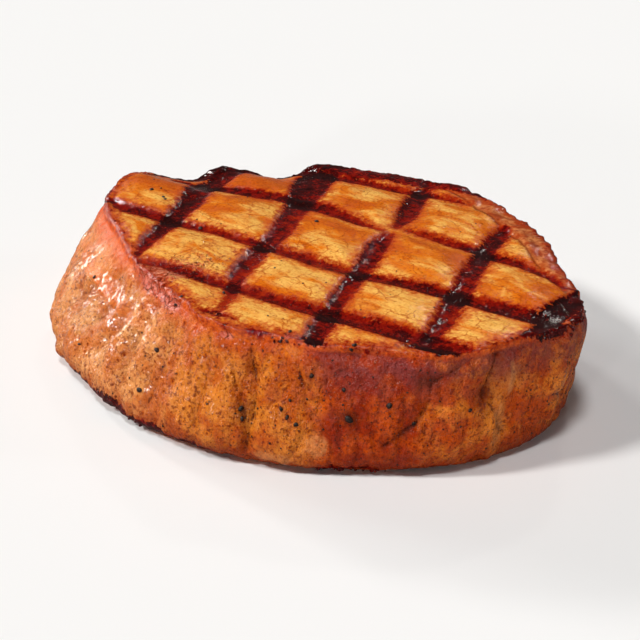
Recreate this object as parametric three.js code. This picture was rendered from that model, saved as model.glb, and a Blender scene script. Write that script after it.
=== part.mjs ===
// A grilled boneless pork loin chop: one thick oval slab of meat with a crowned, grate-marked top, a swollen flank
// that leans out over a flat base, and a rim with the notches and folds that the meat pulls into as it cooks.
// The frame: millimetres, +Z up, +X along the chop, origin in the middle of the base.
import * as THREE from "three";
import { mergeVertices } from "three/addons/utils/BufferGeometryUtils.js";

// Driving sizes.
const THICKNESS = 28; // base to rim
const RIM_LENGTH = 129; // the top's rim, tip to tip along X
const RIM_WIDTH = 80;
const BASE_LENGTH = 113.5; // the widest outline, low on the wall
const BASE_WIDTH = 95;
const TOP_SHIFT = new THREE.Vector2(-1, 4); // the rim sits off the base's middle by this much
const CROWN = 1.1; // how far the top swells above its rim
const SHOULDER = 2; // rounding where the wall meets the top
const UNDERCUT = 5; // rounding where the wall meets the base
const BELLY = 1.3; // how far the wall bulges half way up, all round

// The grate's bars pressed the top in two directions, one turn of the chop apart. Each bar lies aside of the middle by
// so many millimetres, about 22 apart.
const BAR_WIDTH = 5;
const BAR_DEPTH = 0.6;
const GRATE_TURNS = [
  { heading: 9, bars: [-25.5, -5.8, 16.2, 38.3] },
  { heading: 112.7, bars: [-55.6, -34, -12, 11.4, 36.5] },
];

// How finely the slab is divided: squares across the top and base, and rings up the wall.
const GRID = 34;
const WALL_RINGS = 9;

// Swellings (out above 0) and notches (out below 0) of an outline or a height: each is a smooth hump centred on an
// angle in degrees, wide degrees to each side, and out millimetres high.
const RIM_HUMPS = [
  { at: -150, wide: 20, out: -7.0 }, // the flank swells out below the rim here, so the rim is drawn in
  { at: -76, wide: 11, out: 5.0 }, // the corner where two muscles meet
  { at: -51, wide: 5, out: 2.2 },
  { at: -7, wide: 8, out: -4.5 },
  { at: 26, wide: 12, out: -5.6 },
  { at: 90, wide: 18, out: 4.0 },
  { at: 147, wide: 6, out: -6.0 }, // the fold in the far edge
  { at: 157, wide: 6, out: -4.4 },
  { at: 169, wide: 4.5, out: -6.4 }, // the notch beside the far corner
];
const BASE_HUMPS = [
  { at: -156, wide: 17, out: 6.9 }, // the swollen flank
  { at: -114, wide: 13, out: 1.5 },
  { at: -41, wide: 24, out: -3.5 },
  { at: -4, wide: 18, out: 0.7 },
];
const BELLY_HUMPS = [{ at: -172, wide: 26, out: 4.2 }];
const RIM_LIFTS = [
  { at: 169, wide: 5, out: -3.2 },
  { at: 148, wide: 7, out: -2.6 },
  { at: 179, wide: 5, out: 0.8 },
  { at: 160, wide: 3.5, out: 0.8 },
  { at: 137, wide: 6, out: 0.6 },
];

// Creases that run up the wall, each at an angle on the base and leaning by so many degrees at the rim.
const CREASES = [
  { at: -120, lean: 3, wide: 2.4, deep: 1.2 },
  { at: -107, lean: -2, wide: 1.9, deep: 1.1 },
  { at: -95, lean: -2, wide: 1.8, deep: 0.8 },
  { at: -80, lean: 2, wide: 2.0, deep: 0.7 },
  { at: -65.5, lean: -1, wide: 1.8, deep: 1.1 }, // the deep one beside the corner
  { at: -50, lean: -2.5, wide: 1.8, deep: 0.5 },
  { at: -33, lean: 9, wide: 2.0, deep: 0.6 },
  { at: -9, lean: -3, wide: 1.8, deep: 1.1 },
  { at: 60, lean: 3, wide: 2.4, deep: 1.1 },
  { at: 100, lean: -4, wide: 2.6, deep: 1.3 },
  { at: 150, lean: 2, wide: 2.4, deep: 1.3 },
];

const degrees = (radians) => THREE.MathUtils.radToDeg(radians);
const radians = (angle) => THREE.MathUtils.degToRad(angle);
const turnBetween = (a, b) => THREE.MathUtils.euclideanModulo(a - b + 180, 360) - 180;
const hump = (distance, wide) => Math.exp(-0.5 * (distance / wide) ** 2);
const humps = (angle, list) => list.reduce((sum, h) => sum + h.out * hump(turnBetween(angle, h.at), h.wide), 0);

function ovalRadius(angle, length, width) {
  const across = Math.cos(radians(angle)) / (length / 2);
  const along = Math.sin(radians(angle)) / (width / 2);
  return 1 / Math.hypot(across, along);
}

const rimRadius = (angle) => ovalRadius(angle, RIM_LENGTH, RIM_WIDTH) + humps(angle, RIM_HUMPS);
const baseRadius = (angle) => ovalRadius(angle, BASE_LENGTH, BASE_WIDTH) + humps(angle, BASE_HUMPS);

function creaseDepth(angle, rise) {
  const middle = Math.sin(Math.PI * THREE.MathUtils.clamp(rise, 0, 1));
  return CREASES.reduce(
    (sum, c) => sum + c.deep * middle * hump(turnBetween(angle, c.at + c.lean * rise), c.wide),
    0,
  );
}

// How deep the bars have pressed the top at a point of it.
function barDepth(x, y) {
  let depth = 0;
  for (const turn of GRATE_TURNS) {
    const heading = radians(turn.heading);
    const aside = y * Math.cos(heading) - x * Math.sin(heading);
    for (const bar of turn.bars) {
      depth = Math.max(depth, BAR_DEPTH * hump(aside - bar, BAR_WIDTH / 3));
    }
  }
  return depth;
}

// A point of the top: share is 0 in its middle and 1 on the rim's inner edge.
function topPoint(angle, share) {
  // The rim's notches and swellings fade out towards the middle.
  const reach = share * (ovalRadius(angle, RIM_LENGTH, RIM_WIDTH) - SHOULDER) + share ** 4 * humps(angle, RIM_HUMPS);
  const x = reach * Math.cos(radians(angle)) + TOP_SHIFT.x;
  const y = reach * Math.sin(radians(angle)) + TOP_SHIFT.y;
  const height = THICKNESS + CROWN * (1 - share ** 2) + humps(angle, RIM_LIFTS) * share ** 4;
  return new THREE.Vector3(x, y, height - barDepth(x, y));
}

// A point of the base, which is flat.
function basePoint(angle, share) {
  const reach = share * (baseRadius(angle) - UNDERCUT);
  return new THREE.Vector3(reach * Math.cos(radians(angle)), reach * Math.sin(radians(angle)), 0);
}

// A point of the wall: climb is 0 on the base's edge and 1 on the top's.
function wallPoint(angle, climb) {
  const turn = climb * Math.PI;
  const rimHeight = THICKNESS + humps(angle, RIM_LIFTS);
  // The rounded corners take a quarter turn each, and the wall between them is a smooth blend of the two outlines.
  const low = THREE.MathUtils.clamp(climb / 0.3, 0, 1);
  const high = THREE.MathUtils.clamp((climb - 0.8) / 0.2, 0, 1);
  const between = THREE.MathUtils.clamp((climb - 0.3) / 0.5, 0, 1);
  const z =
    UNDERCUT * (1 - Math.cos((low * Math.PI) / 2)) +
    (rimHeight - UNDERCUT - SHOULDER) * between +
    SHOULDER * Math.sin((high * Math.PI) / 2);
  const rise = z / rimHeight;
  const blend = THREE.MathUtils.smoothstep(rise, 0.05, 1);
  const reach =
    THREE.MathUtils.lerp(baseRadius(angle), rimRadius(angle), blend) -
    UNDERCUT * (1 - Math.sin((low * Math.PI) / 2)) -
    SHOULDER * (1 - Math.cos((high * Math.PI) / 2)) +
    (BELLY + humps(angle, BELLY_HUMPS)) * Math.sin(turn) ** 2 -
    creaseDepth(angle, rise);
  return new THREE.Vector3(
    reach * Math.cos(radians(angle)) + TOP_SHIFT.x * blend,
    reach * Math.sin(radians(angle)) + TOP_SHIFT.y * blend,
    z,
  );
}

// Draws a square's grid of points into a disc, so that its edge becomes the outline.
function discFromSquare(u, v) {
  const x = u * Math.sqrt(1 - (v * v) / 2);
  const y = v * Math.sqrt(1 - (u * u) / 2);
  return { angle: degrees(Math.atan2(y, x)), share: Math.hypot(x, y) };
}

function chopGeometry() {
  const block = new THREE.BoxGeometry(2, 2, 1, GRID, GRID, WALL_RINGS);
  block.deleteAttribute("normal");
  block.deleteAttribute("uv");
  const slab = mergeVertices(block, 1e-5);
  const place = slab.getAttribute("position");
  for (let i = 0; i < place.count; i++) {
    const { angle, share } = discFromSquare(place.getX(i), place.getY(i));
    const climb = place.getZ(i) + 0.5;
    let point;
    if (climb > 1 - 1e-4) point = topPoint(angle, share);
    else if (climb < 1e-4) point = basePoint(angle, share);
    else point = wallPoint(angle, climb);
    place.setXYZ(i, point.x, point.y, point.z);
  }
  slab.computeBoundingBox();
  const middle = slab.boundingBox.getCenter(new THREE.Vector3());
  slab.translate(-middle.x, -middle.y, 0);
  slab.computeVertexNormals();
  return slab;
}

const meat = new THREE.MeshStandardMaterial({ color: 0xc4783f, roughness: 0.45, metalness: 0 });
const chop = new THREE.Mesh(chopGeometry(), meat);
chop.name = "pork_chop";

const part = new THREE.Group();
part.add(chop);

export default part;
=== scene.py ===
"""A grilled boneless pork loin chop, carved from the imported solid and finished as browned, glazed meat.

The chop is one piece: the solid's surface remeshed fine, then pressed, creased and swollen in code.
Masks on its vertices tell the meat's finish where the marks, the rim, the fat cap and the skin are.
Cracked pepper and char crumbs lie on it as real grains. Lengths are in millimetres until a mesh is
made, and angles in degrees about the chop's upright middle axis.
"""

import math
import random

import bmesh
import bpy
import numpy as np
from mathutils import Matrix, Vector, kdtree, noise
from mathutils.bvhtree import BVHTree


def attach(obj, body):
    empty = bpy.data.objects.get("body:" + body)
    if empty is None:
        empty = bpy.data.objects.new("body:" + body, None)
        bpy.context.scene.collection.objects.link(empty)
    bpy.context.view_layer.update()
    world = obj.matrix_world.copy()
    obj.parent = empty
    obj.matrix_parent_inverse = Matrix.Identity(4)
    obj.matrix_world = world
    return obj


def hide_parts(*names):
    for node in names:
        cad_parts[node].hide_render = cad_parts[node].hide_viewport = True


MM = 0.001

# ---------------------------------------------------------------- the camera and the light
AIM = Vector((6.17, -4.43, 13.5))
CAMERA_TURN = -48.0
CAMERA_RISE = 26.0
CAMERA_AWAY = 381.0
LENS = 100.0
SENSOR = 36.0
LAMPS = [  # name, bearing, height, width, power and colour
    ("key", -122, 44, 9, 1.9, (1.0, 0.98, 0.95)),
    ("overhead", -62, 66, 10, 1.2, (1.0, 1.0, 1.0)),
    ("low", -175, 14, 15, 1.0, (1.0, 0.98, 0.95)),
    ("front", -74, 11, 4, 0.44, (1.0, 0.98, 0.96)),
    ("glint", 116, 39, 2.4, 0.15, (1.0, 0.94, 0.88)),
    ("rim", 166, 27, 7, 0.6, (1.0, 0.98, 0.95)),
    ("edge", 35, 14, 5, 0.2, (1.0, 1.0, 1.0)),
]

# ---------------------------------------------------------------- the chop's surface
VOXEL = 0.57
SMOOTHINGS = 14
RIM_FACING = 0.74  # how far upwards the surface faces where the top turns into the flank
RIM_FROM = 20.0  # the lowest height of the rim
TOP_FROM = 18.0  # the top lies over this height
UNDER_TO = 4.0  # the underside lies below this one

# Where a hot bar pressed the meat. Each bar runs on a heading and is given by stations along it: how far
# along, how far aside, half its width there, and its scorch, from 0.3 for a brown line to 1 for char.
TOP_BARS = {
    9.0: [
        [(-31, 36.8, 2.3, 1.0), (-12, 36.2, 2.2, 0.8), (8, 38.6, 1.5, 0.7), (17, 39.0, 0.4, 0.4)],
        [
            (-48, 16.2, 1.7, 1.0), (-36, 16.0, 2.0, 0.9), (-20, 17.4, 2.0, 0.8),
            (-9, 17.6, 2.4, 0.85), (3, 14.6, 1.6, 0.6), (9, 13.2, 0.7, 0.3),
        ],
        [
            (14, 16.7, 0.7, 0.4), (24, 16.3, 1.5, 0.7), (42, 15.0, 1.8, 0.9),
            (50, 12.9, 1.6, 0.8), (55, 10.3, 0.9, 0.6),
        ],
        [
            (-57, -2.2, 1.0, 0.9), (-47, -5.0, 1.9, 0.8), (-36, -6.0, 1.6, 0.8), (-22, -6.6, 1.3, 0.6),
            (2, -8.2, 2.1, 0.7), (16, -9.1, 1.9, 0.6), (28, -7.3, 2.3, 1.0),
            (44, -6.5, 2.3, 0.95), (58, -6.1, 2.6, 1.0),
        ],
        [
            (-27, -25.3, 0.9, 0.5), (-14, -26.2, 1.6, 0.75), (1, -27.0, 1.7, 0.65), (14, -27.2, 2.4, 0.8),
            (30, -26.8, 2.6, 0.75), (44, -26.2, 3.0, 0.95), (51, -25.8, 2.0, 0.8),
        ],
        [(-1, -38.1, 0.4, 0.9), (3, -38.3, 0.8, 1.1), (7, -38.9, 0.4, 0.9)],
        [(22, -37.6, 0.5, 1.0), (25, -38.6, 1.0, 1.2), (28, -38.3, 0.5, 1.0)],
        [(41, -29.8, 0.7, 0.9), (46, -28.6, 1.1, 1.1), (52, -27.4, 0.5, 1.0)],
    ],
    112.7: [
        [
            (-17, 33.8, 0.7, 0.6), (-8, 34.2, 2.1, 0.85), (0, 33.8, 2.5, 0.9), (12, 33.4, 3.1, 1.0),
            (20, 35.0, 3.3, 1.0), (28, 35.0, 3.5, 1.05), (37, 32.6, 3.2, 1.1),
        ],
        [
            (-37, 6.6, 0.6, 0.3), (-30, 6.8, 1.2, 0.4), (-21, 9.0, 2.1, 0.75), (-10, 9.1, 2.4, 0.8),
            (2, 8.1, 2.5, 0.75), (12, 9.3, 2.7, 0.75), (20, 10.0, 3.2, 0.9),
            (29, 11.2, 4.4, 1.1), (37, 12.4, 5.0, 1.2),
        ],
        [
            (-44, -15.4, 1.9, 1.0), (-38, -15.0, 2.6, 0.9), (-28, -14.4, 2.0, 0.75),
            (-10, -14.6, 2.3, 0.8), (4, -14.2, 2.3, 0.9), (9, -14.4, 1.1, 0.5),
        ],
        [(14, -14.8, 1.0, 0.5), (20, -14.8, 2.3, 0.85), (31, -14.0, 2.5, 0.95), (38, -13.5, 2.2, 0.9)],
        [
            (-34, -36.1, 1.6, 0.7), (-27, -36.7, 2.3, 0.8), (-13, -36.6, 2.4, 0.85), (0, -36.2, 2.2, 0.85),
            (10, -36.2, 2.1, 0.95), (17, -36.8, 2.1, 1.0), (22, -36.8, 1.4, 0.8),
        ],
        [(-24, -56.5, 2.6, 1.3), (-18, -56.0, 3.2, 1.5), (-10, -58.5, 3.2, 1.4), (-2, -59.6, 1.5, 1.1)],
    ],
}
HOT_SIDE = 0.2  # how much more a bar scorched along one edge
BAR_PRESS = 0.45
SQUARE_SWELL = 0.35  # how far the meat swells between the marks
BLISTER = 0.2
NO_MARK = -9.0

# The marks of the underside: the same grate, from other headings and with its bars beside the middle.
UNDER_HEADINGS = (20.0, 118.0)
UNDER_SEED = 23
UNDER_ASIDE = 7.0
BAR_PITCH = 22.0

# Creases of the flank: the (angle, height) places each runs through, its half width, depth and the
# darkness of its painted shade.
FLANK_CREASES = [
    ([(-63.5, 24), (-62, 18), (-62, 12), (-64, 4)], 0.6, 0.8, 0.7),
    ([(-71, 24), (-68, 21), (-66.5, 16)], 0.5, 0.45, 0.7),
    ([(-77, 24), (-75, 19), (-76, 12), (-77.5, 7)], 0.8, 0.6, 0.6),
    ([(-81, 18), (-78.5, 13)], 0.5, 0.35, 0.4),
    ([(-51.5, 25), (-50, 18), (-47.5, 10)], 0.45, 0.4, 0.8),
    ([(-19, 24.5), (-24, 21.5), (-24.5, 17), (-27, 12.5), (-33, 8)], 0.7, 0.6, 0.9),
    ([(-11, 26), (-12.5, 22), (-13.5, 17), (-11, 13), (-8.5, 7)], 0.9, 0.9, 0.8),
    ([(-41, 23), (-46, 19.5), (-47, 14)], 0.5, 0.3, 0.4),
    ([(2, 13), (9, 10)], 0.6, 0.5, 0.8),
    ([(-118, 24), (-117, 17), (-119, 10)], 1.2, 0.7, 0.3),
    ([(-105, 24), (-105.5, 16), (-104, 9)], 1.0, 0.7, 0.3),
    ([(-93, 22), (-92, 14), (-93, 7)], 0.9, 0.5, 0.4),
    ([(44, 24), (47, 15), (45, 6)], 0.9, 0.8, 0.7),
    ([(82, 23), (79, 14), (81, 6)], 0.9, 0.9, 0.7),
    ([(118, 24), (121, 16), (118, 7)], 0.8, 0.7, 0.7),
    ([(163, 24), (161, 15), (164, 7)], 1.0, 0.8, 0.6),
]

# Swellings (out above 0) and dents of the flank, with shade painted into the dents: angle, height, half
# width, half height, out.
FLANK_SWELLS = [
    (-111, 16, 3.6, 7.0, 1.5),
    (-99, 18, 2.8, 6.0, 1.3),
    (-105, 17, 1.2, 6.0, -0.7),
    (-133, 21, 2.4, 2.0, -1.3),
    (-141, 17, 2.0, 2.6, -1.0),
    (-126, 19, 1.3, 3.0, -1.1),
    (-122, 23, 1.2, 2.2, -0.9),
    (-118, 19, 1.2, 3.6, -0.8),
    (-136, 14, 2.6, 1.4, -0.6),
    (-130, 10, 5.0, 4.0, 0.8),
    (-72, 13, 3.2, 7.0, 0.9),
    (-56, 16, 4.4, 8.0, 0.9),
    (-34, 14, 6.0, 6.0, 0.7),
    (-18, 9, 4.0, 4.0, 0.5),
    (-8.5, 21, 1.5, 4.0, 1.3),
    (-11, 11, 1.4, 3.6, 1.0),
    (-14, 17, 1.6, 2.4, -1.3),
    (-136, 3.5, 1.8, 1.6, 1.6),
    (4, 16, 4.0, 6.0, 0.7),
    (28, 14, 6.0, 7.0, 0.8),
    (64, 14, 7.0, 7.0, 1.0),
    (100, 13, 7.0, 7.0, 1.1),
    (141, 15, 6.0, 7.0, 1.0),
    (172, 15, 6.0, 7.0, 0.8),
]

# Where the rim itself is burnt: angle, half width in degrees, reach over the rim and scorch.
RIM_CHAR = [
    (159, 7, 4.2, 1.3),
    (145, 9, 2.0, 0.8),
    (132, 6, 3.6, 1.3),
    (118, 12, 5.0, 0.85),
    (101, 10, 4.4, 0.8),
    (86, 6, 2.6, 0.9),
    (70, 9, 0.8, 0.5),
    (42, 14, 0.8, 0.5),
    (172, 9, 1.0, 0.5),
    (3, 6, 2.4, 1.2),
    (-62, 2.5, 0.9, 0.9),
    (-35, 2.0, 0.8, 1.0),
    (-171, 5, 0.9, 0.7),
]

# Where the foot is burnt: angle, half width in degrees and scorch.
FOOT_CHAR = [
    (-108, 9, 1.25),
    (-124, 8, 0.9),
    (-93, 8, 1.0),
    (-79, 8, 0.75),
    (-41, 9, 0.7),
    (-10, 9, 0.5),
    (60, 24, 0.8),
    (140, 20, 0.7),
]

# Dark blots on the flank, drawn with the shade painted in its creases: angle, height, half width, half
# height.
FLANK_BLOTS = [
    (-13.5, 17.2, 1.3, 2.0),
    (-24.5, 22, 1.5, 1.1),
    (-40, 13.7, 1.5, 1.2),
    (-64.5, 12, 0.9, 1.6),
]

# The puckered swelling at the left end: its middle angle and height, and how deep its folds are.
PUCKER_ANGLE = -131.0
PUCKER_HEIGHT = 19.0
PUCKER_DEPTH = 1.6

# Toasted patches of the top: x, y, half length along x, half width, strength.
TOASTED = [
    (-50, 1, 8, 4, 1.4),
    (-36, 18.5, 8, 4, 2.4),
    (-6, 21.5, 4, 2, 1.5),
    (-28, 1, 6, 5, 0.8),
    (-46, -9, 9, 4, 0.5),
    (-1, 7, 7, 5, 1.0),
    (23, 10, 9, 5, 1.1),
    (49, 10, 7, 5, 0.6),
    (43, 24, 4, 4, 0.8),
    (12, 27, 9, 5, 0.5),
    (6, -23, 7, 3, 0.4),
    (40, -19, 7, 3, 0.3),
]

# Pale flecks of fat bared on the flank, the two on a flap by a crease also a painted highlight: angle,
# height, half width, half height.
FAT_AND_HIGHLIGHT_FLECKS = [(-9.8, 10, 1.3, 4.4), (-8.2, 20, 0.8, 3.0), (-57, 3.5, 3.0, 1.2), (-47, 7, 2.0, 2.0)]

# Wet swellings of the flank: angle, height, half width, half height.
WET_SPOTS = [
    (-152, 19, 2.5, 4.0),
    (-138, 18, 2.8, 3.6),
    (-127, 20, 3.0, 3.6),
    (-118, 16, 2.4, 5.0),
    (-110, 18, 2.6, 5.0),
    (-103, 20, 2.4, 3.6),
    (-130, 8, 4.0, 2.5),
    (-96, 12, 2.0, 4.0),
    (-168, 20, 3.0, 4.0),
    (-76.5, 21, 0.9, 3.0),
    (-70, 25, 2.6, 1.2),
    (-72, 15, 1.6, 5.0),
    (-58, 8, 3.0, 4.0),
    (-8.5, 20, 1.2, 3.0),
    (3, 15, 2.0, 3.0),
]

# Shiny cracked skin left on the rim: angle, height, half width, half height.
SKIN_PATCHES = [(-113, 26.4, 7.0, 1.7), (-97, 25.8, 3.5, 1.2), (-71, 25.9, 1.4, 0.6)]

# The fat cap wraps the far side between two angles, and shows on the top as a band, widest at one angle.
FAT_FROM, FAT_TO = 14.0, 96.0
FAT_WIDEST = 51.0
FAT_BAND = 1.6
FAT_BAND_MORE = 4.6

# The flank's tones: the middle angle, how far from it the tone ends, how near it is full, and how much its
# end wanders.
FLANK_TONES = {
    "pale": (-140, 66, 32, 7.0),
    "roast": (-36, 16, 7, 3.5),
    "deep": (0, 56, 40, 7.0),
}

# What the meat's finish reads from the chop's vertices.
MASKS = (
    "mark",  # how deep inside a mark or a burnt edge, below 0 outside
    "burn",  # how scorched that is
    "rim",  # how far inside the rim, below 0 down the flank
    "flank",
    "underside",
    "fat",
    "skin",
    "toast",
    "pale",
    "roast",
    "deep",
    # the shade painted in the flank's creases, dents and dark blots
    "painted_crease_shade",
    # how far from the nearest crease; it draws a thin line of painted shade along the creases
    "shaded_crease_line",  # how far from the nearest crease
    # pale flecks of fat, on a flap also a painted highlight
    "fat_and_highlight",
    "wet",
    "foot",
)

# ---------------------------------------------------------------- what lies on it
PEPPER_SEED = 41
BIG_PEPPER = [  # angle, height and width of the largest grains on the flank
    (-40, 13.7, 1.9), (-65, 12.7, 1.3), (-64.5, 10.8, 1.1), (-55, 14.3, 1.0),
    (-53.5, 12.8, 1.1), (-51.5, 11.5, 1.1), (-53, 16, 0.8), (-48, 21.5, 1.1),
    (-41, 19.5, 0.9), (-32, 17, 1.3), (-39, 27, 1.0), (-95, 17.4, 1.2),
    (-126, 9.3, 0.9), (-96, 9.4, 1.2), (-143, 18.3, 1.0), (-95, 25.8, 0.8),
    (-17, 15.3, 0.9), (-27, 12.8, 1.0),
]
TOP_PEPPER = [  # x, y and width of the largest grains on the top
    (-47, -3, 1.0), (-42, -4, 0.8), (-46, -1, 0.6), (-41, -4.5, 0.7),
    (-24, -10, 1.1), (3, -30, 1.0), (-6, 8, 1.1), (4, -16, 0.6),
    (25, -34, 0.8), (38, -30, 1.0), (1, -27, 0.6), (-2, -37, 0.8),
]
SCATTERED_PEPPER = 420
FLANK_SHARE = 0.72  # how much of the scattered pepper lies on the flank
FRONT_SHARE = 0.7  # and how much of that lies about the front
FRONT_ANGLE, FRONT_SPREAD = -45, 48
PEPPER_FLATNESS = 0.6
PEPPER_SINK = 0.35
FINE_PEPPER_SINK = 0.4
CRUMB_SEED = 7
CRUMB_FLATNESS = 0.8
CRUMB_SINK = 0.3
CRUMB_RUNS = [  # from angle, to angle, height, how many, width
    (-47, -31, 0.9, 26, 0.9),
    (-112, -96, 1.6, 6, 0.8),
    (-1, 14, 26.8, 22, 0.8),
    (-58, -50, 27.0, 8, 0.7),
    (-170, -150, 2.0, 8, 0.7),
]
OUTSIDE = 0.2  # metres from the middle axis, past the flank
ABOVE = 0.1  # metres over the table, past the top


# ---------------------------------------------------------------- numbers over the surface
def between(value, low, high):
    """0 below low, 1 above high, smooth in between; low may be the larger."""
    share = np.clip((value - low) / (high - low), 0, 1)
    return share * share * (3 - 2 * share)


def hump(gap, wide):
    return np.exp(-0.5 * (gap / wide) ** 2)


def turn_gap(angle, middle):
    return (angle - middle + 180) % 360 - 180


def lumps(place, size, seed, stretch=(1, 1, 1)):
    """Smooth noise from -1 to 1 whose lumps are about size across, drawn out by stretch."""
    steps = place / (np.array(stretch) * size) + seed * 17.31
    return np.array([noise.noise(step) for step in steps.tolist()])


class Surface:
    """A mesh's points and the measures of them that the carving works from."""

    def __init__(self, piece):
        mesh = piece.data
        self.piece = piece
        self.place = self.read(mesh.vertices, "co") / MM
        self.facing = self.read(mesh.vertex_normals, "vector")
        x, y, z = self.place.T
        self.x, self.y, self.z = x, y, z
        self.angle = np.degrees(np.arctan2(y, x))
        self.reach = np.hypot(x, y)
        self.top = between(self.facing[:, 2], 0.45, 0.85) * (z > TOP_FROM)
        self.under = between(-self.facing[:, 2], 0.8, 0.96) * (z < UNDER_TO)
        self.wall = 1 - self.top - self.under
        self.rim_gap = self.from_rim()

    @staticmethod
    def read(points, name):
        flat = np.empty(len(points) * 3, np.float32)
        points.foreach_get(name, flat)
        return flat.reshape(-1, 3).astype(float)

    def from_rim(self):
        """How far each point is from the rim: above 0 on the top, below 0 down the flank."""
        up = self.facing[:, 2]
        on_rim = np.flatnonzero((np.abs(up - RIM_FACING) < 0.05) & (self.z > RIM_FROM))
        tree = kdtree.KDTree(len(on_rim))
        for i in on_rim:
            tree.insert(self.place[i], int(i))
        tree.balance()
        gap = np.array([tree.find(point)[2] for point in self.place.tolist()])
        return np.where((up > RIM_FACING) & (self.z > TOP_FROM), gap, -gap)

    def flank_line_gap(self, line):
        """How far each point of the flank is from a line through (angle, height) places."""
        nearest = np.full(len(self.x), 1e3)
        for (angle_a, z_a), (angle_b, z_b) in zip(line, line[1:]):
            across = np.radians(turn_gap(self.angle, angle_a)) * self.reach
            up = self.z - z_a
            run = math.radians(angle_b - angle_a) * self.reach
            rise = z_b - z_a
            share = np.clip((across * run + up * rise) / (run**2 + rise**2), 0, 1)
            nearest = np.minimum(nearest, np.hypot(across - share * run, up - share * rise))
        return nearest

    def flank_spot(self, angle, height, wide, tall):
        across = np.radians(turn_gap(self.angle, angle)) * self.reach
        return hump(across, wide) * hump(self.z - height, tall)

    def flank_spots(self, places):
        """How strongly each point lies in the strongest of some soft spots."""
        share = np.zeros(len(self.x))
        for place in places:
            share = np.maximum(share, self.flank_spot(*place))
        return share

    def keep_mask(self, name, values):
        attribute = self.piece.data.attributes.new(name, "FLOAT", "POINT")
        attribute.data.foreach_set("value", values.astype(np.float32))

    def write(self):
        flat = (self.place * MM).astype(np.float32).ravel()
        self.piece.data.vertices.foreach_set("co", flat)
        self.piece.data.update()


def pressed_bars(x, y, turns):
    """How deep each point lies inside a bar's mark, below 0 outside, and how scorched it is."""
    depth = np.full(len(x), NO_MARK)
    burn = np.zeros(len(x))
    for heading, bars in turns.items():
        turn = math.radians(heading)
        along = x * math.cos(turn) + y * math.sin(turn)
        aside = y * math.cos(turn) - x * math.sin(turn)
        hot_side = 1 if heading > 90 else -1
        for bar in bars:
            stop, middle, half, scorch = np.array(bar).T
            past_end = np.maximum(np.maximum(stop[0] - along, along - stop[-1]), 0)
            off_line = aside - np.interp(along, stop, middle)
            inside = np.interp(along, stop, half) - np.hypot(off_line, past_end)
            depth = np.maximum(depth, inside)
            hotter = HOT_SIDE * np.clip(hot_side * off_line / 2.5, -1, 1)
            burn += between(inside, -1.0, 0.8) * (np.interp(along, stop, scorch) + hotter)
    return depth, burn


def under_bars():
    """The marks of the other side, which lay on the grate first: evenly spaced bars, unevenly pressed."""
    chance = random.Random(UNDER_SEED)
    turns = {}
    for heading in UNDER_HEADINGS:
        turns[heading] = []
        for k in range(-3, 4):
            aside = k * BAR_PITCH + UNDER_ASIDE
            bar = []
            for along in range(-70, 71, 35):
                middle = aside + chance.uniform(-1, 1)
                half = chance.uniform(1.2, 2.6)
                bar.append((along, middle, half, chance.uniform(0.5, 1)))
            turns[heading].append(bar)
    return turns


# ---------------------------------------------------------------- the chop
def new_piece(name, shape, material):
    """Makes a smooth-shaded mesh object at the origin from a bmesh in metres, and frees the bmesh."""
    mesh = bpy.data.meshes.new(name)
    shape.to_mesh(mesh)
    shape.free()
    mesh.shade_smooth()
    piece = bpy.data.objects.new(name, mesh)
    bpy.context.scene.collection.objects.link(piece)
    if material:
        mesh.materials.append(material)
    return piece


def settle_modifiers(piece):
    """Puts what the piece's modifiers make into its mesh."""
    ready = piece.evaluated_get(bpy.context.evaluated_depsgraph_get())
    made = bpy.data.meshes.new_from_object(ready)
    piece.modifiers.clear()
    piece.data = made


def chop_blank(node, material):
    """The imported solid's surface, merged, remeshed fine and with its facets smoothed away."""
    shape = bmesh.new()
    shape.from_mesh(node.data)
    bmesh.ops.remove_doubles(shape, verts=shape.verts, dist=1e-6)
    blank = new_piece("chop", shape, None)
    remesh = blank.modifiers.new("fine", "REMESH")
    remesh.mode = "VOXEL"
    remesh.voxel_size = VOXEL * MM
    remesh.use_smooth_shade = True
    smooth = blank.modifiers.new("facets", "SMOOTH")
    smooth.iterations = SMOOTHINGS
    settle_modifiers(blank)
    blank.data.materials.clear()
    blank.data.materials.append(material)
    return blank


def press_top_and_under(surface):
    """The bars' marks, the squares that swell between them, and the blisters of the char."""
    place = surface.place
    wander = lumps(place, 7, 3) * 0.5
    edge = lumps(place, 1.6, 4) * 0.35
    depth, burn = pressed_bars(surface.x + wander, surface.y - wander, TOP_BARS)
    low_depth, low_burn = pressed_bars(surface.x + wander, surface.y + wander, under_bars())
    on_top = surface.rim_gap > -2.2
    past_rim = np.maximum(-surface.rim_gap, 0)
    below = np.where(surface.under > 0, low_depth, NO_MARK)
    depth = np.where(on_top, depth - 2 * past_rim, below)
    burn = np.where(on_top, burn, low_burn * surface.under)
    depth = np.maximum(depth + edge, NO_MARK)
    flat = surface.top + surface.under
    lift = -BAR_PRESS * between(depth, -0.8, 1.2) * flat
    lift += SQUARE_SWELL * between(depth, -1.5, -7) * between(surface.rim_gap, 1, 6) * surface.top
    blister = np.abs(lumps(place, 1.5, 5)) - 0.25
    lift += BLISTER * blister * between(depth, -0.4, 0.8) * flat
    depth, burn = burn_rim(surface, depth, burn, edge)
    surface.keep_mask("mark", depth)
    surface.keep_mask("burn", burn)
    return lift


def burn_rim(surface, depth, burn, edge):
    """The marks' depth and burn, with the places where the rim itself is burnt."""
    high = surface.z > TOP_FROM
    for angle, half, reach, scorch in RIM_CHAR:
        along = hump(turn_gap(surface.angle, angle), half)
        from_middle = np.abs(surface.rim_gap + 0.6 - 0.4 * reach)
        inside = reach * along - from_middle + 1.4 * edge - 0.3
        depth = np.maximum(depth, np.where(high, inside, NO_MARK))
        burn = np.maximum(burn, scorch * between(inside, -0.8, 0.4) * high)
    return depth, burn


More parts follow.
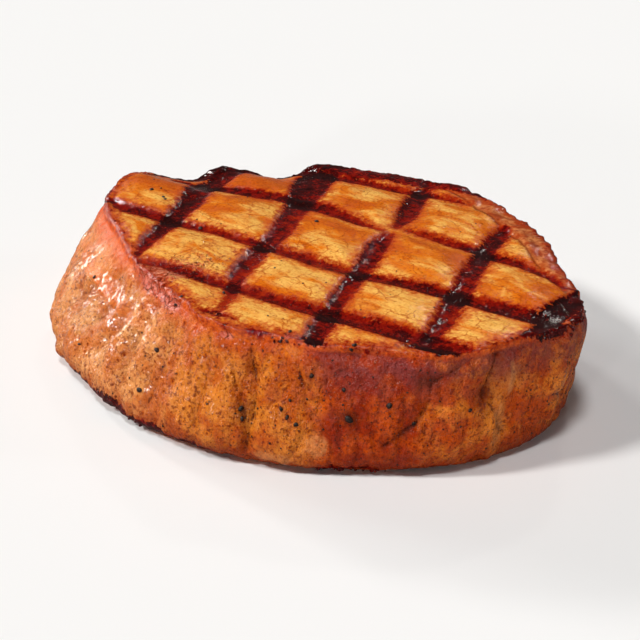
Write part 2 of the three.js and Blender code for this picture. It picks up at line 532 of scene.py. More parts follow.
def grain_top(surface):
    """The soft undulation of the top, its fibres and the seam where the fat cap begins."""
    lift = 0.35 * lumps(surface.place, 13, 6) + 0.1 * lumps(surface.place, 3.2, 7, (2.4, 0.8, 1))
    fat = fat_share(surface)
    seam = hump(surface.rim_gap - fat_width(surface), 0.7) * between(surface.z, 20, 24)
    lift += -0.35 * seam * between(fat, 0, 0.4)
    lift += 0.3 * between(fat, 0.2, 0.9) * (surface.rim_gap > 0)
    lift += 0.5 * fat * lumps(surface.place, 3.0, 21)
    return lift * surface.top


def fat_width(surface):
    """How wide the fat cap shows on the top."""
    return FAT_BAND + FAT_BAND_MORE * hump(turn_gap(surface.angle, FAT_WIDEST), 24)


def fat_share(surface):
    """1 on the fat cap, which wraps the far side, 0 off it."""
    middle, half = (FAT_FROM + FAT_TO) / 2, (FAT_TO - FAT_FROM) / 2
    along = between(np.abs(turn_gap(surface.angle, middle)), half + 4, half - 5)
    ragged = lumps(surface.place, 4, 8) * 0.5
    width = fat_width(surface)
    return along * between(surface.rim_gap + ragged, width + 0.6, width - 0.6)


def swell_flank(surface):
    """The lumps, puckers and wrinkles of the flank, and the shade painted into its dents, by how deep they
    are.
    """
    place = surface.place
    lift = 0.9 * lumps(place, 12, 9) + 0.3 * lumps(place, 5, 10, (1, 1, 2.2))
    lift += 0.14 * lumps(place, 1.8, 11, (1, 1, 3.2))
    dent_shade = np.zeros(len(surface.x))
    for angle, height, wide, tall, out in FLANK_SWELLS:
        spot = surface.flank_spot(angle, height, wide, tall)
        lift += out * spot
        dent_shade = np.maximum(dent_shade, -0.5 * out * spot)
    pucker = between(np.abs(turn_gap(surface.angle, PUCKER_ANGLE)), 18, 6)
    pucker *= hump(surface.z - PUCKER_HEIGHT, 5)
    lift += -PUCKER_DEPTH * pucker * np.abs(lumps(place, 3.4, 12, (1, 1, 1.5)))
    wrinkle = 1 - np.abs(lumps(place, 3.4, 13, (1, 1, 3.5)))
    lift += -0.55 * wrinkle**8
    pleat = 1 - np.abs(lumps(place, 2.6, 22, (1, 1, 3)))
    lift += -0.3 * pleat**6
    lift *= surface.wall * between(surface.z, 0, 3)
    return lift, dent_shade * surface.wall


def crease_flank(surface):
    """The swollen flank with its long creases cut in, and the masks of the shade painted in its creases
    and dents.
    """
    lift, painted_crease_shade = swell_flank(surface)
    shaded_crease_line = np.full(len(surface.x), 3.0)
    wander = 0.5 * lumps(surface.place, 4, 14)
    for line, wide, deep, dark in FLANK_CREASES:
        gap = np.abs(surface.flank_line_gap(line) + wander)
        groove = 0.35 * hump(gap, 1.3 * wide) + 0.65 * np.exp(-gap / 0.45)
        lift += -1.3 * deep * groove * surface.wall
        painted_crease_shade = np.maximum(painted_crease_shade, 0.5 * dark * hump(gap, 0.7 * wide) * surface.wall)
        shaded_crease_line = np.minimum(shaded_crease_line, gap + 1.2 * (1 - dark) * (gap + 0.2))
    painted_crease_shade = np.maximum(painted_crease_shade, 1.3 * surface.flank_spots(FLANK_BLOTS))
    surface.keep_mask("painted_crease_shade", painted_crease_shade)
    surface.keep_mask("shaded_crease_line", shaded_crease_line)
    return lift


def shape_rim_and_foot(surface):
    """The thin ragged lip of the rim and the uneven foot; moves points outwards and up."""
    place = surface.place
    away = np.stack([surface.x, surface.y, 0 * surface.x], 1) / np.maximum(surface.reach, 1)[:, None]
    ragged = lumps(place, 3.0, 15) + 0.6 * lumps(place, 1.4, 16)
    lip = hump(surface.rim_gap, 0.6)
    place += away * (lip * (0.3 + 0.55 * ragged))[:, None]
    place -= away * (0.45 * hump(surface.rim_gap + 1.6, 0.6))[:, None]
    place[:, 2] += lip * (0.5 + 0.4 * lumps(place, 2.2, 17))
    foot = hump(surface.z - 1.2, 1.6) * (1 - surface.under)
    crumbling = lumps(place, 3.4, 18) + 0.7 * lumps(place, 1.5, 19)
    place += away * (foot * (0.1 + 0.7 * crumbling))[:, None]


def colour_masks(surface):
    """The masks that only colour the meat: where its parts are, and the flank's changing brown."""
    surface.keep_mask("flank", surface.wall)
    surface.keep_mask("underside", surface.under)
    surface.keep_mask("rim", np.clip(surface.rim_gap, -12, 12))
    surface.keep_mask("fat", fat_share(surface))
    surface.keep_mask("skin", surface.flank_spots(SKIN_PATCHES))
    # pale flecks of fat, on a flap also a painted highlight
    surface.keep_mask("fat_and_highlight", surface.flank_spots(FAT_AND_HIGHLIGHT_FLECKS))
    surface.keep_mask("wet", surface.flank_spots(WET_SPOTS))
    toast = np.zeros(len(surface.x))
    for x, y, long, wide, strong in TOASTED:
        toast = np.maximum(toast, strong * hump(surface.x - x, long) * hump(surface.y - y, wide))
    surface.keep_mask("toast", toast)
    drift = lumps(surface.place, 9, 20)
    for name, (middle, end, full, wander) in FLANK_TONES.items():
        away = np.abs(turn_gap(surface.angle, middle))
        surface.keep_mask(name, between(away + wander * drift, end, full))
    foot = np.full(len(surface.x), 0.3)
    for angle, half, scorch in FOOT_CHAR:
        foot = np.maximum(foot, scorch * hump(turn_gap(surface.angle, angle), half))
    surface.keep_mask("foot", foot)


def make_chop(node, material):
    chop = chop_blank(node, material)
    surface = Surface(chop)
    lift = press_top_and_under(surface) + grain_top(surface) + crease_flank(surface)
    colour_masks(surface)
    surface.place += surface.facing * lift[:, None]
    shape_rim_and_foot(surface)
    surface.place[:, 2] = np.maximum(surface.place[:, 2], 0)
    surface.write()
    return chop


# ---------------------------------------------------------------- grains on the surface
class Skin:
    """Finds places on the chop's finished surface."""

    def __init__(self, piece):
        self.tree = BVHTree.FromObject(piece, bpy.context.evaluated_depsgraph_get())

    def on_flank(self, angle, height):
        turn = math.radians(angle)
        out = Vector((math.cos(turn), math.sin(turn), 0))
        start = out * OUTSIDE + Vector((0, 0, height * MM))
        place, facing, _, _ = self.tree.ray_cast(start, -out)
        return place, facing

    def on_top(self, x, y):
        start = Vector((x * MM, y * MM, ABOVE))
        place, facing, _, _ = self.tree.ray_cast(start, Vector((0, 0, -1)))
        return place, facing


def add_grain(shape, place, facing, width, flatness, sink, chance, finer=False):
    """One rough grain, lying flat on the surface and sunk into it by a share of its thickness."""
    made = bmesh.ops.create_icosphere(shape, subdivisions=2 if finer else 1, radius=0.5)
    turn = facing.to_track_quat("Z", "Y").to_matrix().to_4x4()
    spin = Matrix.Rotation(chance.uniform(0, 2 * math.pi), 4, "Z")
    size = Matrix.Diagonal((width, width * chance.uniform(0.55, 0.9), width * flatness, 1))
    seed = Vector((chance.uniform(0, 99), chance.uniform(0, 99), 0))
    for vert in made["verts"]:
        vert.co *= 1 + 0.45 * noise.noise(vert.co * 2.6 + seed)
    stand = Matrix.Translation(Vector((0, 0, width * flatness * (0.5 - sink))))
    whole = Matrix.Translation(place) @ turn @ stand @ spin @ size
    bmesh.ops.transform(shape, matrix=whole, verts=made["verts"])


def pepper_place(skin, chance):
    """A place by chance for a fine grain; there is none where the flank or the top is missed."""
    if chance.random() < FLANK_SHARE:
        in_front = chance.random() < FRONT_SHARE
        angle = chance.gauss(FRONT_ANGLE, FRONT_SPREAD) if in_front else chance.uniform(-180, 180)
        return skin.on_flank(angle, 2 + 24 * chance.random())
    return skin.on_top(chance.uniform(-60, 60), chance.uniform(-40, 42))


def make_pepper(skin, material):
    """Cracked pepper: the large grains where they lie, and fine ones scattered over flank and top."""
    chance = random.Random(PEPPER_SEED)
    shape = bmesh.new()
    large = [(skin.on_flank(angle, height), width) for angle, height, width in BIG_PEPPER]
    large += [(skin.on_top(x, y), width) for x, y, width in TOP_PEPPER]
    for (place, facing), width in large:
        add_grain(shape, place, facing, width * MM, PEPPER_FLATNESS, PEPPER_SINK, chance, finer=True)
    for _ in range(SCATTERED_PEPPER):
        width = 0.26 + 0.34 * chance.random() ** 2
        place, facing = pepper_place(skin, chance)
        if place is not None:
            add_grain(shape, place, facing, width * MM, PEPPER_FLATNESS, FINE_PEPPER_SINK, chance)
    return new_piece("cracked_pepper", shape, material)


def make_crumbs(skin, material):
    """Burnt crumbs that cling to the foot, the charred tip and the near rim."""
    chance = random.Random(CRUMB_SEED)
    shape = bmesh.new()
    for start, end, height, count, width in CRUMB_RUNS:
        for _ in range(count):
            angle = chance.uniform(start, end)
            place, facing = skin.on_flank(angle, max(height + chance.gauss(0, 0.5), 0.5))
            if place is not None:
                size = width * chance.uniform(0.5, 1.2) * MM
                add_grain(shape, place, facing, size, CRUMB_FLATNESS, CRUMB_SINK, chance, finer=True)
    return new_piece("char_crumbs", shape, material)


# ---------------------------------------------------------------- finishes
DOME_RISE = 0.13  # how high a droplet of melted fat stands, as a share of its radius

# The meat's colours as they look on a screen, each part from 0 to 255.
TONES = {
    "cream": (252, 190, 92),
    "toasted": (228, 120, 16),
    "browned": (204, 90, 12),
    "fibre": (214, 108, 24),
    "dash": (178, 84, 18),
    "crack": (180, 76, 10),
    "glow": (208, 90, 18),
    "lean edge": (226, 98, 26),
    "underside": (160, 80, 28),
    "tan": (222, 128, 40),
    "tan shade": (188, 82, 12),
    "roast": (200, 76, 0),
    "roast shade": (152, 38, 0),
    "deep": (238, 134, 40),
    "deep shade": (194, 74, 4),
    "salmon": (232, 158, 92),
    "salmon shade": (212, 118, 52),
    "streak": (132, 44, 10),
    "freckle": (112, 32, 4),
    "orange": (214, 66, 2),
    # painted shade of the flank's right side under the rim
    "painted_mauve_shade": (124, 44, 44),
    "foot": (142, 46, 12),
    # painted shade for the flank's creases and dents
    "painted_crease_shade": (88, 28, 8),
    # painted shade along the crease lines
    "shaded_crease_line": (90, 26, 6),
    # pale fat, also a painted highlight on a lit flap
    "fat and highlight": (220, 142, 80),
    "lip": (224, 92, 24),
    # partly char, partly painted shade under the lip
    "rim line": (134, 30, 10),
    "fat": (212, 128, 72),
    "fat shade": (172, 70, 24),
    "fat fleck": (138, 42, 14),
    "fat lip": (128, 36, 12),
    "fat seam": (120, 38, 12),
    "skin": (224, 134, 116),
    "skin shade": (182, 66, 46),
    "skin crack": (60, 10, 8),
    "speck": (118, 32, 6),
    "mark edge": (172, 58, 12),
    "soot": (206, 160, 120),
    "scorched": (164, 40, 6),
    "maroon": (128, 12, 3),
    "char": (70, 3, 3),
    "black char": (34, 3, 3),
    "ember": (164, 36, 8),
    "char grain": (38, 3, 3),
    "husk": (16, 8, 6),
    "worn husk": (70, 32, 16),
}


def tone(name):
    """One of the tones as the shader's linear colour."""

    def linear(part):
        share = part / 255
        return share / 12.92 if share <= 0.04045 else ((share + 0.055) / 1.055) ** 2.4

    return (*map(linear, TONES[name]), 1.0)


def grey(level):
    return (level, level, level, 1.0)


class Wires:
    """Adds nodes to one tree and joins them; a plain number or colour is set on the input itself."""

    def __init__(self, tree):
        self.tree = tree

    def plug(self, socket, value):
        if isinstance(value, bpy.types.NodeSocket):
            self.tree.links.new(value, socket)
        else:
            socket.default_value = value

    def add(self, kind, inputs=(), **settings):
        node = self.tree.nodes.new(kind)
        for name, value in settings.items():
            setattr(node, name, value)
        for name, value in dict(inputs).items():
            self.plug(node.inputs[name], value)
        return node

    def math(self, operation, first, second=0.0):
        node = self.add("ShaderNodeMath", operation=operation)
        self.plug(node.inputs[0], first)
        self.plug(node.inputs[1], second)
        return node.outputs[0]

    def times(self, first, *others):
        for other in others:
            first = self.math("MULTIPLY", first, other)
        return first

    def plus(self, first, *others):
        for other in others:
            first = self.math("ADD", first, other)
        return first

    def scaled(self, value, factor, shift=0.0):
        node = self.add("ShaderNodeMath", operation="MULTIPLY_ADD")
        for socket, given in zip(node.inputs, (value, factor, shift)):
            self.plug(socket, given)
        return node.outputs[0]

    def ease(self, value, low, high, to_low=0.0, to_high=1.0):
        """to_low where value is low, to_high where it is high, smooth in between."""
        given = {"Value": value, "From Min": low, "From Max": high, "To Min": to_low, "To Max": to_high}
        return self.add("ShaderNodeMapRange", given, interpolation_type="SMOOTHSTEP").outputs[0]

    def blend(self, share, first, second, way="MIX"):
        node = self.add("ShaderNodeMix", data_type="RGBA", blend_type=way, clamp_factor=True)
        self.plug(node.inputs[0], share)
        self.plug(node.inputs[6], first)
        self.plug(node.inputs[7], second)
        return node.outputs[2]

    def stain(self, colour, name, share, strength=1.0):
        """The colour, turned to a tone where share says."""
        return self.blend(self.times(share, strength), colour, tone(name))

    def mask(self, name):
        return self.add("ShaderNodeAttribute", attribute_name=name).outputs["Fac"]

    def stretched(self, place, scale):
        return self.add("ShaderNodeMapping", {"Vector": place, "Scale": scale}).outputs[0]

    def noise(self, place, size, detail=2.0, rough=0.5, warp=0.0):
        given = {"Vector": place, "Scale": 1 / size, "Detail": detail, "Roughness": rough}
        return self.add("ShaderNodeTexNoise", {**given, "Distortion": warp}).outputs["Fac"]

    def cells(self, place, size, feature="F1"):
        scale = self.math("DIVIDE", 1.0, size)
        return self.add("ShaderNodeTexVoronoi", {"Vector": place, "Scale": scale}, feature=feature).outputs

    def grid_spots(self, place, size):
        """How far each place is from the nearest spot of a loose grid, and two chance numbers of it."""
        spots = self.cells(place, size)
        parts = self.add("ShaderNodeSeparateColor", {"Color": spots["Color"]}).outputs
        return self.times(spots["Distance"], size), parts["Red"], parts["Green"]

    def bump(self, height):
        """A surface normal from a height in millimetres."""
        return self.add("ShaderNodeBump", {"Height": height, "Distance": MM, "Strength": 1.0}).outputs[0]


def new_group(name, numbers, outputs):
    """A shader node group that reads a place and numbers: its tree, its Wires and its inner sockets."""
    tree = bpy.data.node_groups.new(name, "ShaderNodeTree")
    tree.interface.new_socket(name="Place", in_out="INPUT", socket_type="NodeSocketVector")
    for socket, default in numbers.items():
        made = tree.interface.new_socket(name=socket, in_out="INPUT", socket_type="NodeSocketFloat")
        made.default_value = default
    for socket, kind in outputs.items():
        tree.interface.new_socket(name=socket, in_out="OUTPUT", socket_type="NodeSocket" + kind)
    wires = Wires(tree)
    return tree, wires, wires.add("NodeGroupInput").outputs, wires.add("NodeGroupOutput").inputs


def crack_group():
    """Fine lines along the borders of warped cells, which come and go over the surface."""
    numbers = {"Cell": 5.0, "Line": 0.12, "Broken": 0.5}
    tree, w, given, out = new_group("fibre_cracks", numbers, {"Line": "Float"})
    place = given["Place"]
    warp = w.add("ShaderNodeTexNoise", {"Vector": place, "Scale": 0.35, "Detail": 3.0}).outputs["Color"]
    shift = w.add("ShaderNodeVectorMath", {0: warp, 1: (3.0, 3.0, 3.0)}, operation="MULTIPLY").outputs[0]
    bent = w.add("ShaderNodeVectorMath", {0: place, 1: shift}, operation="ADD").outputs[0]
    edge = w.cells(bent, given["Cell"], "DISTANCE_TO_EDGE")["Distance"]
    line = w.ease(w.times(edge, given["Cell"]), given["Line"], 0.0)
    shown = w.noise(place, 6.0, 3.0)
    shown = w.ease(shown, given["Broken"], w.plus(given["Broken"], 0.14))
    w.plug(out["Line"], w.times(line, shown))
    return tree


def speck_group():
    """Round specks of uneven size, one in some of the cells of a loose grid."""
    numbers = {"Cell": 2.0, "Size": 0.2, "Share": 0.5}
    tree, w, given, out = new_group("specks", numbers, {"Speck": "Float"})
    away, luck, bulk = w.grid_spots(given["Place"], given["Cell"])
    size = w.times(given["Size"], w.scaled(bulk, 0.8, 0.4))
    dot = w.ease(away, size, w.times(size, 0.55))
    w.plug(out["Speck"], w.times(dot, w.math("LESS_THAN", luck, given["Share"])))
    return tree


def droplet_group():
    """Low domes of melted fat, of uneven size, in some of the cells of a loose grid."""
    numbers = {"Cell": 1.3, "Size": 0.4, "Share": 0.3}
    tree, w, given, out = new_group("fat_droplets", numbers, {"Height": "Float", "Droplet": "Float"})
    away, luck, bulk = w.grid_spots(given["Place"], given["Cell"])
    size = w.times(given["Size"], w.scaled(bulk, 0.8, 0.5))
    share = w.math("DIVIDE", away, size)
    dome = w.math("MAXIMUM", w.scaled(w.times(share, share), -1.0, 1.0), 0.0)
    dome = w.times(dome, w.math("LESS_THAN", luck, given["Share"]))
    w.plug(out["Height"], w.times(dome, size, DOME_RISE))
    w.plug(out["Droplet"], w.ease(dome, 0.0, 0.25))
    return tree


def char_group():
    """Blistered char: maroon to black by how burnt it is, with the height and gloss of its blisters."""
    outputs = {"Color": "Color", "Height": "Float", "Roughness": "Float"}
    tree, w, given, out = new_group("char_crust", {"Burn": 0.7}, outputs)
    place = given["Place"]
    blotch = w.noise(place, 2.2, 3.0, 0.6)
    depth = w.plus(given["Burn"], w.scaled(blotch, 2.0, -1.0))
    colour = w.blend(w.ease(depth, 0.25, 0.65), tone("scorched"), tone("maroon"))
    colour = w.stain(colour, "char", w.ease(depth, 0.65, 1.0))
    colour = w.stain(colour, "black char", w.ease(depth, 1.1, 1.5))
    grain = w.noise(place, 0.7, 3.0, 0.7)
    flecks = w.times(w.ease(grain, 0.54, 0.66), w.ease(depth, 1.4, 0.8, 0.15, 0.65))
    colour = w.stain(colour, "ember", flecks)
    colour = w.stain(colour, "char grain", w.ease(grain, 0.46, 0.36), 0.65)
    bubble = w.cells(place, 1.1, "SMOOTH_F1")["Distance"]
    crowded = w.ease(w.noise(place, 3.5, 2.0), 0.4, 0.6, 0.3, 1.0)
    height = w.plus(w.times(w.scaled(bubble, -0.09, 0.04), crowded), w.scaled(grain, 0.035))
    w.plug(out["Color"], colour)
    w.plug(out["Height"], height)
    w.plug(out["Roughness"], w.scaled(blotch, 0.12, 0.05))
    return tree


def new_material(name):
    """A material, the Wires to fill it, its Principled shader's sockets and the place in millimetres."""
    material = bpy.data.materials.new(name)
    material.use_nodes = True
    w = Wires(material.node_tree)
    shader = material.node_tree.nodes["Principled BSDF"].inputs
    place = w.stretched(w.add("ShaderNodeTexCoord").outputs["Object"], (1 / MM, 1 / MM, 1 / MM))
    return material, w, shader, place


def use_group(w, tree, inputs):
    return w.add("ShaderNodeGroup", inputs, node_tree=tree).outputs


class MeatFinish:
    """The chop's finish: lean, flank, fat cap and skin, then char, melted fat and fine relief."""

    def __init__(self, wires, place, groups):
        w = wires
        self.w = w
        self.place = place
        self.groups = groups
        self.masks = {name: w.mask(name) for name in MASKS}
        self.fine = w.noise(place, 1.0, 4.0, 0.65)
        self.wide = w.noise(place, 4.0, 3.0, 0.6)
        self.height = w.add("ShaderNodeSeparateXYZ", {"Vector": place}).outputs["Z"]
        self.mark = self.ragged("mark", self.fine, 4.6)
        self.glow = w.ease(w.plus(self.mark, w.scaled(self.wide, 5.0, -2.5)), -2.8, -0.2)
        # A thin line of painted shade along the creases, also sunk a little in the relief.
        self.shaded_crease_line = w.ease(self.ragged("shaded_crease_line", self.fine, 0.9), 0.42, 0.08)
        self.wet = w.ease(self.ragged("wet", self.wide, 1.2), 0.25, 0.7)
        self.skin = w.ease(self.ragged("skin", self.fine, 1.0), 0.35, 0.65)
        self.skin_cracks = self.group("cracks", Cell=2.0, Line=0.15, Broken=0.34)["Line"]
        self.specks = self.group("specks", Cell=1.2, Size=0.34, Share=0.45)["Speck"]
        self.beads = self.group("droplets", Cell=1.2, Size=0.6, Share=0.45)
        self.pools = self.group("droplets", Cell=2.4, Size=0.9, Share=0.5)
        self.char, self.charred = self.char_crust()

    def ragged(self, name, noise, by):
        """A mask whose borders wander with the noise."""
        return self.w.plus(self.masks[name], self.w.scaled(noise, by, -by / 2))

    def group(self, name, **inputs):
        return use_group(self.w, self.groups[name], {"Place": self.place, **inputs})

    def char_crust(self):
        """The char of the marks, the rim and the foot, and where it lies."""
        w, masks = self.w, self.masks
        foot = w.plus(w.times(self.height, -1.0), w.scaled(masks["foot"], 4.6, -0.6))
        foot = w.plus(foot, w.scaled(self.fine, 4.0, -2.0))
        foot = w.times(w.ease(foot, -0.2, 0.5), masks["flank"])
        scorch = w.math("MAXIMUM", masks["burn"], w.times(foot, w.scaled(masks["foot"], 0.6, 0.5)))
        return self.group("char", Burn=scorch), w.math("MAXIMUM", w.ease(self.mark, -0.2, 0.2), foot)

    def lean(self):
        """Cream, orange in fibrous patches, with brown fibres and cracks, and glowing beside the marks."""
        w, place, masks = self.w, self.place, self.masks
        patch = w.noise(w.stretched(place, (0.5, 1.0, 1.0)), 6.0, 5.0, 0.6, 0.8)
        fibre = w.noise(w.stretched(place, (0.18, 1.0, 1.0)), 0.9, 4.0, 0.65, 0.3)
        dashes = w.noise(w.stretched(place, (0.25, 1.0, 1.0)), 0.55, 3.0, 0.6)
        toasted = w.plus(patch, w.times(masks["toast"], 0.22))
        colour = w.blend(w.ease(toasted, 0.45, 0.64), tone("cream"), tone("toasted"))
        colour = w.stain(colour, "browned", w.ease(toasted, 0.62, 0.78))
        colour = w.stain(colour, "fibre", w.ease(fibre, 0.47, 0.62), 0.5)
        colour = w.stain(colour, "dash", w.ease(dashes, 0.58, 0.72), 0.6)
        long_cracks = self.group("cracks", Cell=6.0, Line=0.22, Broken=0.38)["Line"]
        hatch = w.stretched(place, (0.5, 1.0, 1.0))
        short_cracks = self.group("cracks", Place=hatch, Cell=2.4, Line=0.16, Broken=0.5)["Line"]
        cracks = w.math("MAXIMUM", long_cracks, w.times(short_cracks, 0.6))
        colour = w.stain(colour, "crack", cracks, 0.75)
        colour = w.stain(colour, "glow", self.glow, 0.85)
        edge = w.ease(self.ragged("rim", self.wide, -3.0), 1.4, 0.2)
        colour = w.stain(colour, "lean edge", edge, 0.8)
        return w.stain(colour, "underside", masks["underside"], 0.45)

    def flank(self):
        """Salmon, tan or orange brown by the side it faces, burnt under the rim, with painted shade in its
        creases.
        """
        w, place, masks = self.w, self.place, self.masks
        shade = w.ease(w.noise(place, 7.0, 3.0, 0.6), 0.38, 0.62)
        colour = w.blend(shade, tone("tan"), tone("tan shade"))
        for mask, name in (("deep", "deep"), ("pale", "salmon"), ("roast", "roast")):
            local = w.blend(shade, tone(name), tone(name + " shade"))
            colour = w.blend(masks[mask], colour, local)
        streak = w.noise(w.stretched(place, (1.0, 1.0, 0.2)), 0.7, 5.0, 0.65)
        colour = w.stain(colour, "streak", w.ease(streak, 0.5, 0.7), 0.5)
        freckle = w.noise(place, 0.9, 4.0, 0.7)
        colour = w.stain(colour, "freckle", w.ease(freckle, 0.53, 0.61), 0.75)
        below_rim = w.ease(self.ragged("rim", self.wide, -6.0), -7.0, -0.5)
        colour = w.stain(colour, "orange", w.times(below_rim, w.scaled(masks["pale"], 0.4, 0.4)))
        # Painted shade: mauve high on the right side of the flank, under the rim.
        painted_mauve_shade = w.times(w.ease(self.height, 16.0, 24.0), w.ease(self.wide, 0.34, 0.56, 0.45, 1.0))
        colour = w.stain(colour, "painted_mauve_shade", w.times(painted_mauve_shade, masks["deep"]), 0.8)
        foot = w.ease(w.plus(self.height, w.scaled(self.wide, 7.0, -3.5)), 8.0, 0.4)
        colour = w.stain(colour, "foot", foot, 0.8)
        # Painted shade: dark in the creases, dents and blots, and a thin dark line along each crease.
        colour = w.stain(colour, "painted_crease_shade", masks["painted_crease_shade"], 0.62)
        colour = w.stain(colour, "shaded_crease_line", self.shaded_crease_line, 0.8)
        # Pale flecks of fat; on the flap by a crease they are also a painted highlight.
        fat_and_highlight = w.ease(self.ragged("fat_and_highlight", self.fine, 1.0), 0.3, 0.7)
        colour = w.stain(colour, "fat and highlight", fat_and_highlight, 0.5)
        lip = w.ease(w.math("ABSOLUTE", w.scaled(masks["rim"], 1.0, 0.5)), 1.0, 0.2)
        return w.stain(colour, "lip", lip, 0.8)

    def with_fat(self, colour):
        """A colour with the fat cap over it: flecked brown, darker at the rim, with a seam at the lean."""
        w, fat, flank = self.w, self.masks["fat"], self.masks["flank"]
        cap = w.blend(w.ease(self.wide, 0.36, 0.6), tone("fat"), tone("fat shade"))
        cap = w.stain(cap, "fat fleck", w.ease(self.fine, 0.5, 0.62), 0.5)
        rim = self.ragged("rim", self.fine, 3.0)
        cap = w.stain(cap, "fat lip", w.times(w.ease(rim, 1.4, 0.2), w.ease(rim, -4.5, -1.5)))
        colour = w.blend(w.times(fat, w.ease(flank, 0.6, 1.0, 1.0, 0.45)), colour, cap)
        seam = w.times(fat, w.ease(fat, 1.0, 0.5), w.ease(flank, 0.8, 0.2))
        return w.stain(colour, "fat seam", seam, 1.6)

    def with_skin(self, colour):
        w = self.w
        skin = w.blend(w.ease(self.fine, 0.4, 0.6), tone("skin"), tone("skin shade"))
        skin = w.stain(skin, "skin crack", self.skin_cracks)
        return w.blend(w.times(self.skin, 0.8), colour, skin)

    def colour(self):
        w, masks = self.w, self.masks
        colour = w.blend(masks["flank"], self.lean(), self.flank())
        # A thin dark line along the rim: partly char, partly painted shade under the lip.
        rim = w.math("ABSOLUTE", w.plus(masks["rim"], w.scaled(self.fine, 1.2, -0.7)))
        line = w.times(w.ease(rim, 0.4, 0.15), w.ease(self.wide, 0.36, 0.48, 0.4, 1.0))
        colour = w.stain(colour, "rim line", line, 0.85)
        colour = self.with_skin(self.with_fat(colour))
        specks = w.times(self.specks, w.scaled(masks["flank"], 0.65, 0.15))
        colour = w.stain(colour, "speck", specks)
        colour = w.stain(colour, "mark edge", w.ease(self.mark, -1.2, -0.2), 0.85)
        colour = w.blend(self.charred, colour, self.char["Color"])
        soot = w.ease(w.noise(self.place, 0.55, 3.0, 0.7), 0.5, 0.66)
        return w.blend(w.times(soot, 0.7), colour, tone("soot"), "MULTIPLY")

    def roughness(self):
        """Dull meat, smoother where it is wet, on skin, fat and char, and smoothest on melted fat."""
        w = self.w
        rough = w.ease(self.wide, 0.38, 0.62, 0.16, 0.4)
        rough = w.blend(self.wet, rough, grey(0.1))
        glossy = w.math("MAXIMUM", self.skin, w.times(self.masks["fat"], 0.85))
        rough = w.blend(glossy, rough, grey(0.12))
        rough = w.blend(self.charred, rough, self.char["Roughness"])
        return w.blend(self.beads["Droplet"], rough, grey(0.06))

    def relief(self):
        """The height of the fine relief in millimetres; melted fat fills it where it lies."""
        w, place, flank = self.w, self.place, self.masks["flank"]
        pores = w.noise(place, 0.45, 3.0, 0.6)
        pits = w.noise(place, 1.2, 4.0, 0.6)
        wrinkles = w.noise(w.stretched(place, (1.0, 1.0, 0.5)), 2.4, 3.0, 0.6)
        pleats = w.noise(w.stretched(place, (1.0, 1.0, 0.25)), 1.1, 3.0, 0.6)
        relief = w.plus(
            w.times(pores, w.scaled(flank, 0.2, 0.02)),
            w.times(pits, w.scaled(flank, 0.5, 0.06)),
            w.times(wrinkles, w.scaled(flank, 0.9, 0.1)),
            w.times(pleats, flank, 0.22),
            w.scaled(flank, -0.83, -0.09),  # brings its middle to about zero
        )
        relief = w.times(relief, w.scaled(self.skin, -0.5, 1.0), w.scaled(self.wet, -0.4, 1.0))
        relief = w.plus(relief, w.times(self.shaded_crease_line, -0.15), w.times(self.skin_cracks, self.skin, -0.3))
        relief = w.plus(relief, w.times(self.specks, 0.06), w.times(self.char["Height"], self.charred))
        beaded = w.math("MAXIMUM", w.scaled(self.glow, 0.7, 0.3), flank)
        relief = w.times(relief, w.scaled(w.times(self.beads["Droplet"], beaded), -0.85, 1.0))
        pools = w.times(self.pools["Height"], w.scaled(self.wet, 2.0))
        return w.plus(relief, w.times(self.beads["Height"], beaded), pools)


def grilled_meat(groups):
    material, w, shader, place = new_material("grilled_meat")
    finish = MeatFinish(w, place, groups)
    w.plug(shader["Base Color"], finish.colour())
    w.plug(shader["Roughness"], finish.roughness())
    w.plug(shader["Normal"], w.bump(finish.relief()))
    w.plug(shader["Coat Weight"], w.times(finish.wet, 0.5))
    w.plug(shader["Coat Roughness"], 0.1)
    w.plug(shader["IOR"], 1.34)
    return material


def peppercorn():
    material, w, shader, place = new_material("peppercorn")
    husk = w.noise(place, 0.3, 3.0)
    w.plug(shader["Base Color"], w.blend(w.ease(husk, 0.45, 0.7), tone("husk"), tone("worn husk")))
    w.plug(shader["Roughness"], w.scaled(husk, 0.5, 0.3))
    w.plug(shader["Normal"], w.bump(w.scaled(husk, 0.06)))
    return material


def burnt_crumb(groups):
    material, w, shader, place = new_material("burnt_crumb")
    char = use_group(w, groups["char"], {"Place": place, "Burn": 1.1})
    w.plug(shader["Base Color"], char["Color"])
    w.plug(shader["Roughness"], char["Roughness"])
    w.plug(shader["Normal"], w.bump(char["Height"]))
    return material


# ---------------------------------------------------------------- the studio
def bearing(turn, rise):
    """The direction at an angle about the upright axis and a height over the table."""
    turn, rise = math.radians(turn), math.radians(rise)
    return Vector((math.cos(turn) * math.cos(rise), math.sin(turn) * math.cos(rise), math.sin(rise)))


def make_camera():
    back = bearing(CAMERA_TURN, CAMERA_RISE)
    data = bpy.data.cameras.new("camera")
    data.lens = LENS
    data.sensor_width = SENSOR
    data.clip_start = 0.01
    camera = bpy.data.objects.new("camera", data)
    camera.location = (AIM + back * CAMERA_AWAY) * MM
    camera.rotation_euler = back.to_track_quat("Z", "Y").to_euler()
    bpy.context.scene.collection.objects.link(camera)
    bpy.context.scene.camera = camera


def soft_lamp(name, turn, rise, width, power, colour):
    """A far round softbox at a bearing and a height, so many degrees wide."""
    data = bpy.data.lights.new(name, "SUN")
    data.angle = math.radians(width)
    data.energy = power
    data.color = colour
    out = bearing(turn, rise)
    lamp = bpy.data.objects.new(name, data)
    lamp.rotation_euler = out.to_track_quat("Z", "Y").to_euler()
    bpy.context.scene.collection.objects.link(lamp)


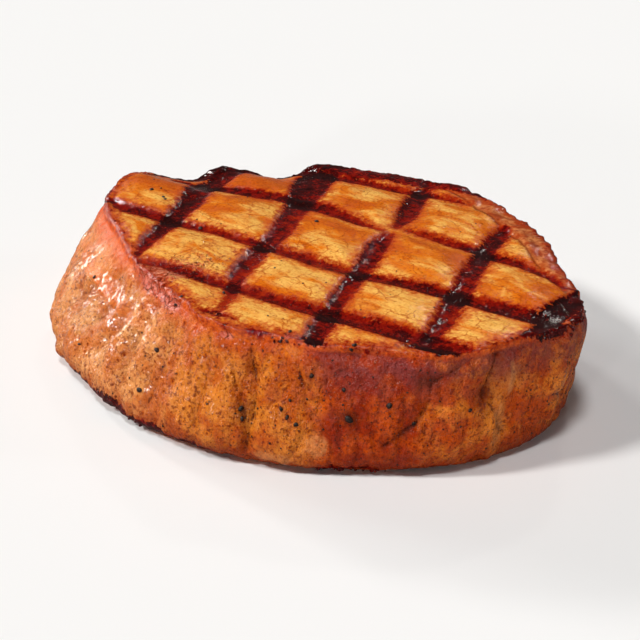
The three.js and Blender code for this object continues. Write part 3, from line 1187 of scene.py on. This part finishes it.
def make_studio():
    """A pale floor in a dim white room, lit by the lamps. The chop's gloss mirrors a darker floor."""
    shape = bmesh.new()
    bmesh.ops.create_grid(shape, x_segments=1, y_segments=1, size=3)
    material, w, shader, _ = new_material("pale_floor")
    w.plug(shader["Roughness"], 0.9)
    w.plug(shader["Specular IOR Level"], 0.1)
    mirrored = w.add("ShaderNodeLightPath").outputs["Is Glossy Ray"]
    w.plug(shader["Base Color"], w.blend(mirrored, grey(0.9), grey(0.2)))
    floor = new_piece("floor", shape, material)
    world = bpy.data.worlds.new("room")
    world.use_nodes = True
    w = Wires(world.node_tree)
    dim = world.node_tree.nodes["Background"]
    w.plug(dim.inputs["Color"], grey(1.0))
    w.plug(dim.inputs["Strength"], 0.05)
    wall = w.add("ShaderNodeBackground", {"Color": grey(1.0), "Strength": 1.0})
    seen = w.add("ShaderNodeLightPath").outputs["Is Camera Ray"]
    room = w.add("ShaderNodeMixShader", {0: seen, 1: dim.outputs[0], 2: wall.outputs[0]})
    w.plug(world.node_tree.nodes["World Output"].inputs["Surface"], room.outputs[0])
    bpy.context.scene.world = world
    for lamp in LAMPS:
        soft_lamp(*lamp)
    bpy.context.scene.view_settings.view_transform = "Standard"


# ---------------------------------------------------------------- the scene
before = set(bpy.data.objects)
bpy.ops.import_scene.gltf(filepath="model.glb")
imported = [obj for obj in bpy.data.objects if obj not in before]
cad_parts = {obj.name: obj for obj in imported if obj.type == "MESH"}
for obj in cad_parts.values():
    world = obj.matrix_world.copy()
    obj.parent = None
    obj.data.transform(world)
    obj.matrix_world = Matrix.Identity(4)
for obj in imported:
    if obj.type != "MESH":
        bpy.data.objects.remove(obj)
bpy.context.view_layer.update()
make_camera()
make_studio()
groups = {
    "cracks": crack_group(),
    "specks": speck_group(),
    "droplets": droplet_group(),
    "char": char_group(),
}

chop = make_chop(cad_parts["pork_chop"], grilled_meat(groups))
skin = Skin(chop)
pepper = make_pepper(skin, peppercorn())
crumbs = make_crumbs(skin, burnt_crumb(groups))
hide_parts("pork_chop")
for piece in (chop, pepper, crumbs):
    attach(piece, "root")
